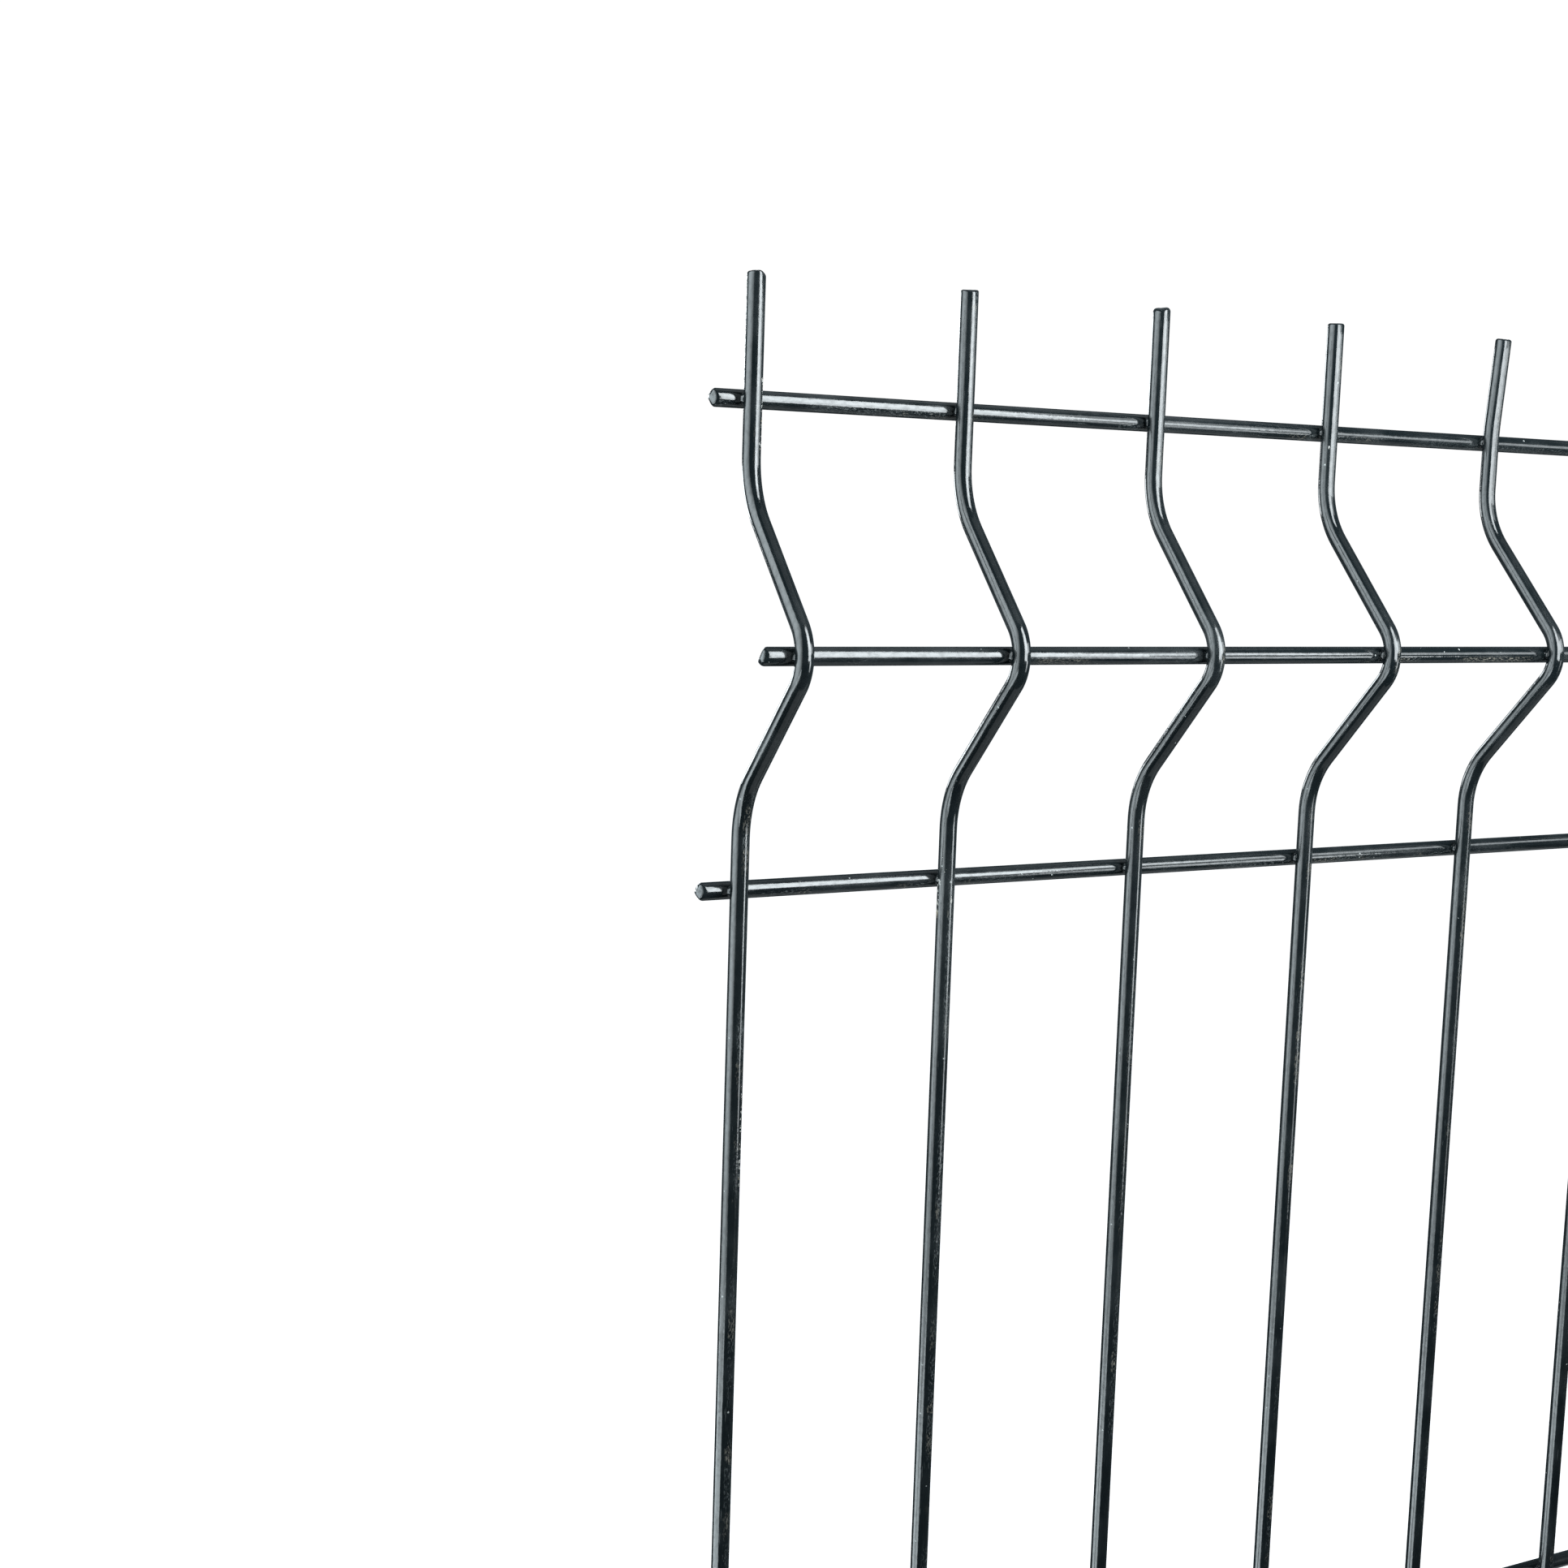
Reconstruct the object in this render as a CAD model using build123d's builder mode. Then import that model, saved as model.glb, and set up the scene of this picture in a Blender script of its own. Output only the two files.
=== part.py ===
"""A welded mesh fence panel: upright wires with a V fold near the head and the foot, welded
to straight line wires that lie behind them. Millimetres, +Z up. X runs along the fence and the
folds point to -Y. The origin is on the cut foot of the middle upright."""

import os
from math import asin, atan2, cos, hypot, pi, radians, sin, tan

from build123d import *

os.makedirs("parts", exist_ok=True)

# The wire is drawn as a bar with eight flats, this far apart from flat to flat.
wire_flats = 3.8
wire_sides = 8

# The mesh: uprights along the fence, line wires up the height.
upright_pitch = 50.0
upright_count = 41
fold_mesh = 50.0
open_mesh = 200.0
open_meshes = 4

# Free ends, from the axis of the last wire that they cross.
foot_length = 5.0
spike_length = 25.0
line_stub = 8.0

# The fold, measured on the wire's centre line: how far its crest stands out, the height from
# the crest to where the leg would meet the plain run, and the radii of the bends.
fold_depth = 25.0
fold_half_height = 31.0
crest_radius = 9.0
edge_radius = 20.0

# Each bend is pressed in short flats. The crest has an even count of corners, so that a flat
# lies across its middle for the line wire to seat on.
edge_corners = 3
crest_corners = 4

# The cropped end of a line wire: two faces that meet in an upright ridge a little in front of
# the wire's axis. The front one slants more than the back one.
front_crop = radians(28)
back_crop = radians(6)
ridge_forward = 0.3

# One spike was knocked aside: which upright it is on, and how far it leans towards +X.
knocked_upright = 5
knock_lean = radians(5)

# Heights of the line wires, from the foot.
bottom_crest = foot_length + fold_mesh
bottom_fold_head = bottom_crest + fold_mesh
top_fold_foot = bottom_fold_head + open_meshes * open_mesh
top_crest = top_fold_foot + fold_mesh
top_edge = top_crest + fold_mesh
upright_top = top_edge + spike_length

# The leg of the fold runs from its corner to a tangent of the crest's bend.
crest_centre_depth = fold_depth - crest_radius
leg_lean = atan2(crest_centre_depth, fold_half_height) + asin(
    crest_radius / hypot(crest_centre_depth, fold_half_height)
)
edge_tangent = edge_radius * tan(leg_lean / 2)

# A line wire lies flat to flat against the back of the uprights.
plain_seat = wire_flats
crest_seat = wire_flats - fold_depth
last_upright = upright_pitch * (upright_count - 1) / 2
line_reach = last_upright + line_stub

# The knocked spike bends at its weld and still ends at the height of the others.
knocked_length = (spike_length - wire_flats / 2 * sin(knock_lean)) / cos(knock_lean)


def pressed_bend(centre_y, centre_z, radius, first, last, corners):
    """The corners of a bend in flats that all touch its true arc, between two angles in YZ."""
    step = (last - first) / corners
    reach = radius / cos(step / 2)
    angles = [first + (number + 0.5) * step for number in range(corners)]
    return [(0, centre_y + reach * cos(a), centre_z + reach * sin(a)) for a in angles]


def fold(crest):
    """The corners of one V fold, from its lower edge up, with its crest at a given height."""
    edge_rise = fold_half_height + edge_tangent
    lower = pressed_bend(-edge_radius, crest - edge_rise, edge_radius, 0, leg_lean, edge_corners)
    nose = pressed_bend(
        -crest_centre_depth, crest, crest_radius, pi + leg_lean, pi - leg_lean, crest_corners
    )
    upper = pressed_bend(-edge_radius, crest + edge_rise, edge_radius, -leg_lean, 0, edge_corners)
    return lower + nose + upper


def wire_section():
    """The wire's section, with flats to the front and back of the panel."""
    RegularPolygon(
        radius=wire_flats / 2,
        side_count=wire_sides,
        major_radius=False,
        rotation=180 / wire_sides,
    )


def folded_upright(spike):
    """An upright, folded twice, with the corners of its spike given from the top weld up."""
    with BuildPart() as wire:
        with BuildLine():
            Polyline((0, 0, 0), *fold(bottom_crest), *fold(top_crest), *spike)
        with BuildSketch(Plane.XY):
            wire_section()
        sweep(transition=Transition.RIGHT)
    return wire.part


# The upright in the middle of the panel, and the one with the knocked spike.
straight_spike = [(0, 0, upright_top)]
knocked_spike = [
    (0, 0, top_edge),
    (knocked_length * sin(knock_lean), 0, top_edge + knocked_length * cos(knock_lean)),
]
plain_upright = folded_upright(straight_spike)
spoilt_upright = folded_upright(knocked_spike)

# The line wire, straight, centred on the panel, with both ends cropped.
with BuildPart() as straight_wire:
    with BuildSketch(Plane.YZ):
        wire_section()
    extrude(amount=line_reach, both=True)
    for side in (-1, 1):
        ridge = (side * line_reach, -ridge_forward, 0)
        for lean in (-front_crop, back_crop):
            blade = Plane(origin=ridge, z_dir=(side * cos(lean), sin(lean), 0))
            split(bisect_by=blade, keep=Keep.BOTTOM)

# The uprights, numbered along +X.
for number in range(upright_count):
    with BuildPart() as upright:
        with Locations((number * upright_pitch - last_upright, 0, 0)):
            add(spoilt_upright if number + 1 == knocked_upright else plain_upright)
    upright.part.label = f"upright_wire_{number + 1:02d}"
    export_step(upright.part, f"parts/{upright.part.label}.step")

# The line wires, by name: how far behind the uprights' axes, and how high.
line_wires = {
    "bottom_edge_wire": (plain_seat, foot_length),
    "bottom_crest_wire": (crest_seat, bottom_crest),
    "bottom_fold_head_wire": (plain_seat, bottom_fold_head),
    "top_fold_foot_wire": (plain_seat, top_fold_foot),
    "top_crest_wire": (crest_seat, top_crest),
    "top_edge_wire": (plain_seat, top_edge),
}
for number in range(1, open_meshes):
    line_wires[f"field_wire_{number}"] = (plain_seat, bottom_fold_head + number * open_mesh)

for label, (seat, height) in line_wires.items():
    with BuildPart() as line_wire:
        with Locations((0, seat, height)):
            add(straight_wire.part)
    line_wire.part.label = label
    export_step(line_wire.part, f"parts/{label}.step")
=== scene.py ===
"""Looks of the welded mesh fence panel: round powder coated wires, the fillets of coating at
the welds, the cropped wire ends, chips and dust, and a plain studio around it.

Metres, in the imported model's own frame: X along the fence, the folds point to -Y, Z up.
"""

import logging
import math
import random
from dataclasses import dataclass, field
from enum import Enum
from functools import cached_property

import bmesh
import bpy
from mathutils import Matrix, Vector, noise


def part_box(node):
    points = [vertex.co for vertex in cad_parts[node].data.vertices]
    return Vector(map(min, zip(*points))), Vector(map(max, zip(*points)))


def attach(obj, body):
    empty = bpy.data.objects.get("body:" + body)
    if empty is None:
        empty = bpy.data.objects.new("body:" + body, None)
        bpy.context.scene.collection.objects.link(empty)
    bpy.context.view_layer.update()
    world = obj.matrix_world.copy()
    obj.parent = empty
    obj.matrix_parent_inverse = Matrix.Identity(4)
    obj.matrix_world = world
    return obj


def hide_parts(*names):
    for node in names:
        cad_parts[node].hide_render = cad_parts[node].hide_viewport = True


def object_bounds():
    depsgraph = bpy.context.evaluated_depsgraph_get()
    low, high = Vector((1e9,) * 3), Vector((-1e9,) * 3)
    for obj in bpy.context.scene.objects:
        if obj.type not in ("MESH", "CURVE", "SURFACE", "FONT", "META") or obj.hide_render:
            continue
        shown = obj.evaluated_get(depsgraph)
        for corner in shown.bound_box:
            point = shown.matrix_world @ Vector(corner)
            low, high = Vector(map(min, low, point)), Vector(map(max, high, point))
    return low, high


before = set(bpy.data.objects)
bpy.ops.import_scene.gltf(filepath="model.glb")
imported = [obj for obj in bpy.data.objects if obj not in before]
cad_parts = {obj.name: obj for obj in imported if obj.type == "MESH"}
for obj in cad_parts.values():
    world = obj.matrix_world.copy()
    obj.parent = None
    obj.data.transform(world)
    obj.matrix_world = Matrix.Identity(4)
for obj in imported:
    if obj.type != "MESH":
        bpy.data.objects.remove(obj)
CAD_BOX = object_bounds()
LOG = logging.getLogger("fence_panel")

MM = 0.001
PHOTO_SIDE = 1932
SENSOR_WIDTH = 36.0
BODY = "root"
UPRIGHT_NODES = "upright_wire"
# What keeps a rounded number inside the model's box.
HAIR = 0.001 * MM

Socket = bpy.types.NodeSocket
Colour = tuple[float, float, float]
Place = tuple[float, float, float]
Range = tuple[float, float]


class Slot(Enum):
    """The record's material slots."""

    UPRIGHT = "upright_coat"
    LINE = "line_coat"


class Run(Enum):
    """The way that a wire runs, with the axis it runs along."""

    ALONG = "X"
    UP = "Z"


@dataclass(frozen=True)
class Grain:
    """A noise, by its waves per metre and its octaves, and the range of it that becomes 0 to 1."""

    scale: float
    detail: float
    low: float
    high: float


@dataclass(frozen=True)
class Streaks(Grain):
    """A noise drawn out along a wire, with the waves per metre across it as its scale."""

    along: float


class Nodes:
    """Short calls that wire up the nodes of one material or world."""

    def __init__(self, tree: bpy.types.NodeTree) -> None:
        """Takes the node tree of a material or a world, and empties it."""
        self.tree = tree
        tree.nodes.clear()

    def add(self, kind: str, **settings: object) -> bpy.types.Node:
        """Adds one node.

        Args:
            kind: the node's type name.
            settings: properties of the node, or inputs by name with spaces as underscores.

        Returns:
            The new node.
        """
        node = self.tree.nodes.new(kind)
        for key, value in settings.items():
            if hasattr(node, key):
                setattr(node, key, value)
            else:
                node.inputs[key.replace("_", " ")].default_value = value
        return node

    def link(self, source: Socket, target: Socket) -> None:
        """Joins two sockets."""
        self.tree.links.new(source, target)

    def fed(self, kind: str, source: Socket, target: int | str, **settings: object) -> bpy.types.Node:
        """Adds a node that reads a socket.

        Args:
            kind: the node's type name.
            source: the socket that it reads.
            target: which of its inputs takes that.
            settings: properties of the node, or inputs by name with spaces as underscores.

        Returns:
            The new node.
        """
        node = self.add(kind, **settings)
        self.link(source, node.inputs[target])
        return node

    def show(self, surface: Socket, output: str = "ShaderNodeOutputMaterial") -> None:
        """Ends a material, or a world, with the shader that it shows."""
        self.link(surface, self.add(output).inputs["Surface"])

    @cached_property
    def place(self) -> Socket:
        """The object's own coordinates, which are the panel's."""
        return self.add("ShaderNodeTexCoord").outputs["Object"]

    def axes(self, vector: Socket) -> bpy.types.bpy_prop_collection:
        """Takes a vector apart into X, Y and Z."""
        return self.fed("ShaderNodeSeparateXYZ", vector, 0).outputs

    def noise(self, scale: float, detail: float = 2.0) -> Socket:
        """Adds a noise, by its waves per metre and its octaves of finer noise."""
        return self.fed("ShaderNodeTexNoise", self.place, "Vector", Scale=scale, Detail=detail).outputs["Fac"]

    def stretched_noise(self, waves: Place, detail: float = 2.0) -> Socket:
        """Adds a noise, by its waves per metre along X, Y and Z and its octaves."""
        place = self.fed("ShaderNodeMapping", self.place, "Vector", Scale=waves).outputs["Vector"]
        return self.fed("ShaderNodeTexNoise", place, "Vector", Scale=1.0, Detail=detail).outputs["Fac"]

    def ramp(self, value: Socket, low: float, high: float) -> Socket:
        """Maps the range between two numbers to 0 to 1, with soft ends."""
        settings = {"interpolation_type": "SMOOTHSTEP", "From_Min": low, "From_Max": high}
        return self.fed("ShaderNodeMapRange", value, "Value", **settings).outputs["Result"]

    def grain(self, grain: Grain) -> Socket:
        """Adds a noise and keeps the part of its range that counts."""
        return self.ramp(self.noise(grain.scale, grain.detail), grain.low, grain.high)

    def math(self, operation: str, *values: Socket | float) -> Socket:
        """Adds a math node.

        Args:
            operation: the node's operation, such as MULTIPLY.
            values: sockets or numbers, in the node's order.

        Returns:
            The result.
        """
        node = self.add("ShaderNodeMath", operation=operation)
        for socket, value in zip(node.inputs, values):
            if isinstance(value, Socket):
                self.link(value, socket)
            else:
                socket.default_value = value
        return node.outputs[0]

    def blend(self, share: Socket, first: Socket | Colour, second: Colour) -> Socket:
        """Mixes a colour into another.

        Args:
            share: how much of the second colour shows.
            first: a colour, or the socket of one.
            second: the colour mixed in.

        Returns:
            The mixed colour.
        """
        node = self.add("ShaderNodeMix", data_type="RGBA")
        self.link(share, node.inputs["Factor"])
        if isinstance(first, Socket):
            self.link(first, node.inputs["A"])
        else:
            node.inputs["A"].default_value = (*first, 1.0)
        node.inputs["B"].default_value = (*second, 1.0)
        return next(out for out in node.outputs if out.type == "RGBA")

    def bump(self, relief: Socket, height: float) -> Socket:
        """Shades a relief, which is a share of the height, and gives the normal."""
        return self.fed("ShaderNodeBump", relief, "Height", Distance=height).outputs["Normal"]


def blank_material(name: str) -> tuple[bpy.types.Material, Nodes]:
    """Makes a material that has no nodes yet.

    Args:
        name: the material's name.

    Returns:
        The material, and its nodes.
    """
    material = bpy.data.materials.new(name)
    material.use_nodes = True
    return material, Nodes(material.node_tree)


def new_object(name: str, bm: bmesh.types.BMesh, finish: bpy.types.Material) -> bpy.types.Object:
    """Makes an object of a mesh, which is used up.

    Args:
        name: the object's name.
        bm: its mesh.
        finish: its material.

    Returns:
        The new object, in the scene.
    """
    mesh = bpy.data.meshes.new(name)
    bm.to_mesh(mesh)
    bm.free()
    mesh.materials.append(finish)
    made = bpy.data.objects.new(name, mesh)
    bpy.context.scene.collection.objects.link(made)
    return made


def add_piece(name: str, bm: bmesh.types.BMesh, finish: bpy.types.Material) -> bpy.types.Object:
    """Makes a smooth piece of a mesh, which is used up, and has it ride with the panel.

    Args:
        name: the piece's name.
        bm: its mesh.
        finish: its material.

    Returns:
        The piece.
    """
    bmesh.ops.recalc_face_normals(bm, faces=bm.faces[:])
    piece = new_object(name, bm, finish)
    piece.data.shade_smooth()
    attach(piece, BODY)
    return piece


def join_rows(bm: bmesh.types.BMesh, rows: list[list[bmesh.types.BMVert]], closed: bool) -> None:
    """Joins each row of corners to the next one with faces.

    Args:
        bm: the mesh.
        rows: the rows, which are all as long.
        closed: whether each row is a ring.
    """
    for here, there in zip(rows, rows[1:]):
        for number in range(len(here) if closed else len(here) - 1):
            after = (number + 1) % len(here)
            bm.faces.new((here[number], here[after], there[after], there[number]))


def close_ring(bm: bmesh.types.BMesh, ring: list[bmesh.types.BMVert], middle: bmesh.types.BMVert) -> None:
    """Fills a ring of corners with faces that meet in its middle."""
    for here, after in zip(ring, ring[1:] + ring[:1]):
        bm.faces.new((here, after, middle))


@dataclass(frozen=True)
class Mark:
    """How one kind of mark changes the coat where it is."""

    tint: Colour
    cover: float = 1.0
    roughness: float = 0.0
    # How far it stands out, as a multiple of the orange peel's height.
    relief: float = 0.0


@dataclass(frozen=True)
class Masks:
    """Where each kind of mark is on the coat, from 0 to 1."""

    haze: Socket
    rub: Socket
    scratch: Socket
    dust: Socket
    cut: Socket


@dataclass(frozen=True)
class PowderCoat:
    """Glossy anthracite powder coat: orange peel, dust, fine scratches, a rubbed side, and thin coat on the
    cut ends, tinted pale on one side only, which on the line wires is painted light on their front facets.

    Waves are counted per metre. A pair of cosines says how squarely a face has to lie to a way
    before it counts, and before it counts fully.
    """

    name: str
    run: Run
    # The side that panels rub on when they are stacked, and how much of it is rubbed, up to 1.
    rubbed_side: Place
    rubbing: float = 0.5
    # How dusty the coat is, up to 1.
    dust: float = 0.5
    # The clean coat, and its clear top.
    tint: Colour = (0.0052, 0.0082, 0.0096)
    gloss: float = 0.13
    coat_gloss: float = 0.04
    coat_ior: float = 1.5
    # Where it is hazy, and how much rougher it is there.
    worn_tint: Colour = (0.017, 0.021, 0.023)
    worn_roughness: float = 0.18
    haze: Grain = Grain(70.0, 4.0, 0.42, 0.74)
    # The rub marks: the patches that they come in, how these grow with the rubbing, their ragged
    # outlines, how much of the clear top they take off, and the dirt in some of them.
    rub: Mark = Mark((0.21, 0.23, 0.23), cover=0.45, roughness=0.6, relief=-0.5)
    rub_cosines: Range = (0.80, 0.96)
    rub_patches: Grain = Grain(34.0, 2.0, 0.60, 0.72)
    rub_growth: Range = (0.22, 0.14)
    rub_grain: Streaks = Streaks(3600.0, 2.0, 0.44, 0.80, along=1300.0)
    rub_dulling: float = 0.7
    clay: Mark = Mark((0.30, 0.26, 0.20), cover=0.6)
    clay_patches: Grain = Grain(120.0, 1.0, 0.55, 0.62)
    # The hairline scratches, and the patches that they come in.
    scratch: Mark = Mark((0.21, 0.23, 0.23), cover=0.25, relief=-0.2)
    scratch_lines: Streaks = Streaks(5200.0, 1.0, 0.68, 0.75, along=240.0)
    scratch_patches: Grain = Grain(45.0, 1.0, 0.52, 0.62)
    # The dust specks: the luck that one needs in its cell without dust, how much less it needs
    # with it, and the radius and the soft edge of the largest, as shares of a cell.
    speck: Mark = Mark((0.42, 0.44, 0.43), cover=0.8, roughness=0.8, relief=0.4)
    speck_cells: float = 620.0
    speck_pick: float = 0.97
    speck_more: float = 0.22
    speck_size: float = 0.16
    speck_edge: float = 0.03
    # The cut faces: a pale tint of thin coat, drawn only on the faces toward one side, and the drag marks on
    # them. On the line wires that side is the front, where the pale facets are painted light.
    cut: Mark = Mark((0.085, 0.095, 0.10), roughness=0.42)
    thin_coat_and_lit_side: Place = (0.0, 0.0, 1.0)
    cut_cosines: Range = (0.15, 0.32)
    end_cosines: Range = (0.74, 0.84)
    thin_coat_and_lit_grain: Grain = Grain(900.0, 3.0, 0.62, 0.36)
    drag_waves: Place = (2500.0, 900.0, 4500.0)
    drag_height: float = 0.045 * MM
    # The relief: orange peel, slow waves, and fine grain as a multiple of the orange peel.
    peel_waves: float = 560.0
    peel_height: float = 0.028 * MM
    slow_waves: float = 110.0
    wave_height: float = 0.035 * MM
    fine_waves: float = 2800.0
    fine_relief: float = 0.13
    # The lumps on free ends, and how far from the panel's middle they start and are full.
    lump_waves: float = 330.0
    lump_height: float = 0.0
    free_beyond: float = 1.0
    free_rise: float = 2.5 * MM
    # Where the clear top is dull, and how much of it is missing there.
    dull_streaks: Streaks = Streaks(1500.0, 3.0, 0.40, 0.72, along=700.0)
    dull_most: float = 0.45

    def streaked(self, nodes: Nodes, streaks: Streaks) -> Socket:
        """Adds a noise that is drawn out along the wire.

        Args:
            nodes: the material's nodes.
            streaks: the noise.

        Returns:
            The part of its range that counts, from 0 to 1.
        """
        fast, slow = streaks.scale, streaks.along
        waves = {Run.ALONG: (slow, fast, fast), Run.UP: (fast, fast, slow)}[self.run]
        return nodes.ramp(nodes.stretched_noise(waves, streaks.detail), streaks.low, streaks.high)

    def facing(self, nodes: Nodes, way: Place, cosines: Range) -> Socket:
        """Where the coat faces one way.

        Args:
            nodes: the material's nodes.
            way: the way.
            cosines: the cosine from which it counts, and the one where it counts fully.

        Returns:
            How much it faces that way, from 0 to 1.
        """
        normal = nodes.add("ShaderNodeNewGeometry").outputs["Normal"]
        facing = nodes.fed("ShaderNodeVectorMath", normal, 0, operation="DOT_PRODUCT")
        facing.inputs[1].default_value = Vector(way).normalized()
        return nodes.ramp(facing.outputs["Value"], *cosines)

    def cut_faces(self, nodes: Nodes) -> Socket:
        """Where the wire was cut and the coat is thin: faces across the wire, on one side only; on the line
        wires that side is the front, so their pale front facets are painted light.

        Args:
            nodes: the material's nodes.

        Returns:
            How much of a cut face it is, from 0 to 1.
        """
        ways = {Run.ALONG: ((1, 0, 0), (-1, 0, 0)), Run.UP: ((0, 0, 1), (0, 0, -1))}[self.run]
        ends = [self.facing(nodes, way, self.end_cosines) for way in ways]
        side = self.facing(nodes, self.thin_coat_and_lit_side, self.cut_cosines)
        return nodes.math("MULTIPLY", nodes.math("ADD", *ends), side)

    def rub_marks(self, nodes: Nodes) -> Socket:
        """Small ragged marks in patches along the rubbed side.

        Args:
            nodes: the material's nodes.

        Returns:
            How rubbed the coat is, from 0 to 1.
        """
        side = self.facing(nodes, self.rubbed_side, self.rub_cosines)
        patches = self.rub_patches
        low = patches.low - self.rub_growth[0] * self.rubbing
        high = patches.high - self.rub_growth[1] * self.rubbing
        patch = nodes.ramp(nodes.noise(patches.scale, patches.detail), low, high)
        ragged = self.streaked(nodes, self.rub_grain)
        return nodes.math("MULTIPLY", nodes.math("MULTIPLY", side, patch), ragged)

    def scratches(self, nodes: Nodes) -> Socket:
        """Where there are hairline scratches along the wire, a few at a time."""
        lines = self.streaked(nodes, self.scratch_lines)
        return nodes.math("MULTIPLY", lines, nodes.grain(self.scratch_patches))

    def specks(self, nodes: Nodes) -> Socket:
        """Dust specks of many sizes.

        Args:
            nodes: the material's nodes.

        Returns:
            How dusty the coat is, from 0 to 1.
        """
        cells = nodes.fed("ShaderNodeTexVoronoi", nodes.place, "Vector", Scale=self.speck_cells)
        pick = nodes.fed("ShaderNodeSeparateColor", cells.outputs["Color"], 0)
        size = nodes.ramp(pick.outputs[0], self.speck_pick - self.speck_more * self.dust, 1.0)
        size = nodes.math("MULTIPLY", size, self.speck_size)
        near = nodes.math("SUBTRACT", size, cells.outputs["Distance"])
        return nodes.ramp(near, 0.0, self.speck_edge)

    def lumps(self, nodes: Nodes) -> Socket:
        """Lumps of coat on the free ends of a wire that runs along the fence.

        Args:
            nodes: the material's nodes.

        Returns:
            Their height, as a multiple of the orange peel's.
        """
        out = nodes.math("ABSOLUTE", nodes.axes(nodes.place)["X"])
        free = nodes.ramp(out, self.free_beyond, self.free_beyond + self.free_rise)
        lump = nodes.noise(self.lump_waves, detail=0.0)
        lump = nodes.math("MULTIPLY", lump, self.lump_height / self.peel_height)
        return nodes.math("MULTIPLY", lump, free)

    def colour(self, nodes: Nodes, where: Masks) -> Socket:
        """The coat's colour, with its marks one over the other.

        Args:
            nodes: the material's nodes.
            where: where the marks are.

        Returns:
            The colour.
        """
        # pale tint on the cut faces of one side: thin coat, and painted light on the line wires' front facets
        thin = nodes.math("MULTIPLY", nodes.grain(self.thin_coat_and_lit_grain), where.cut)
        clay = nodes.math("MULTIPLY", where.rub, nodes.grain(self.clay_patches))
        layers = (
            (thin, self.cut),
            (where.scratch, self.scratch),
            (where.rub, self.rub),
            (clay, self.clay),
            (where.dust, self.speck),
        )
        colour = nodes.blend(where.haze, self.tint, self.worn_tint)
        for mask, mark in layers:
            colour = nodes.blend(nodes.math("MULTIPLY", mask, mark.cover), colour, mark.tint)
        return colour

    def roughness(self, nodes: Nodes, where: Masks) -> Socket:
        """How rough the coat is under its clear top.

        Args:
            nodes: the material's nodes.
            where: where the marks are.

        Returns:
            The roughness.
        """
        rough = nodes.math("MULTIPLY_ADD", where.haze, self.worn_roughness, self.gloss)
        for mask, mark in ((where.rub, self.rub), (where.dust, self.speck), (where.cut, self.cut)):
            rough = nodes.math("MAXIMUM", rough, nodes.math("MULTIPLY", mask, mark.roughness))
        return rough

    def relief(self, nodes: Nodes, where: Masks) -> Socket:
        """The coat's relief: orange peel, slow waves, marks, drag marks and lumps.

        Args:
            nodes: the material's nodes.
            where: where the marks are.

        Returns:
            The relief, as a multiple of the orange peel's height.
        """
        drag = nodes.math("MULTIPLY", nodes.stretched_noise(self.drag_waves), where.cut)
        layers = (
            (nodes.noise(self.slow_waves, detail=1.0), self.wave_height / self.peel_height),
            (nodes.noise(self.fine_waves, detail=1.0), self.fine_relief),
            (where.dust, self.speck.relief),
            (where.scratch, self.scratch.relief),
            (where.rub, self.rub.relief),
            (drag, self.drag_height / self.peel_height),
        )
        relief = nodes.noise(self.peel_waves)
        for layer, height in layers:
            relief = nodes.math("ADD", relief, nodes.math("MULTIPLY", layer, height))
        if self.lump_height:
            relief = nodes.math("ADD", relief, self.lumps(nodes))
        return relief

    def clear_top(self, nodes: Nodes, where: Masks) -> Socket:
        """How much clear top the coat has.

        Args:
            nodes: the material's nodes.
            where: where the marks are.

        Returns:
            The share of it, from 0 to 1.
        """
        dull = nodes.math("MULTIPLY", self.streaked(nodes, self.dull_streaks), self.dull_most)
        dull = nodes.math("MAXIMUM", nodes.math("MULTIPLY", where.rub, self.rub_dulling), dull)
        return nodes.math("SUBTRACT", 1.0, dull)

    def make(self) -> bpy.types.Material:
        """Builds the material.

        Returns:
            The finished material.
        """
        material, nodes = blank_material(self.name)
        where = Masks(
            haze=nodes.grain(self.haze),
            rub=self.rub_marks(nodes),
            scratch=self.scratches(nodes),
            dust=self.specks(nodes),
            cut=self.cut_faces(nodes),
        )
        normal = nodes.bump(self.relief(nodes, where), self.peel_height)
        shader = nodes.add(
            "ShaderNodeBsdfPrincipled",
            IOR=self.coat_ior,
            Coat_Roughness=self.coat_gloss,
            Coat_IOR=self.coat_ior,
        )
        nodes.link(self.colour(nodes, where), shader.inputs["Base Color"])
        nodes.link(self.roughness(nodes, where), shader.inputs["Roughness"])
        nodes.link(self.clear_top(nodes, where), shader.inputs["Coat Weight"])
        nodes.link(normal, shader.inputs["Normal"])
        nodes.link(normal, shader.inputs["Coat Normal"])
        nodes.show(shader.outputs["BSDF"])
        return material


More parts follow.
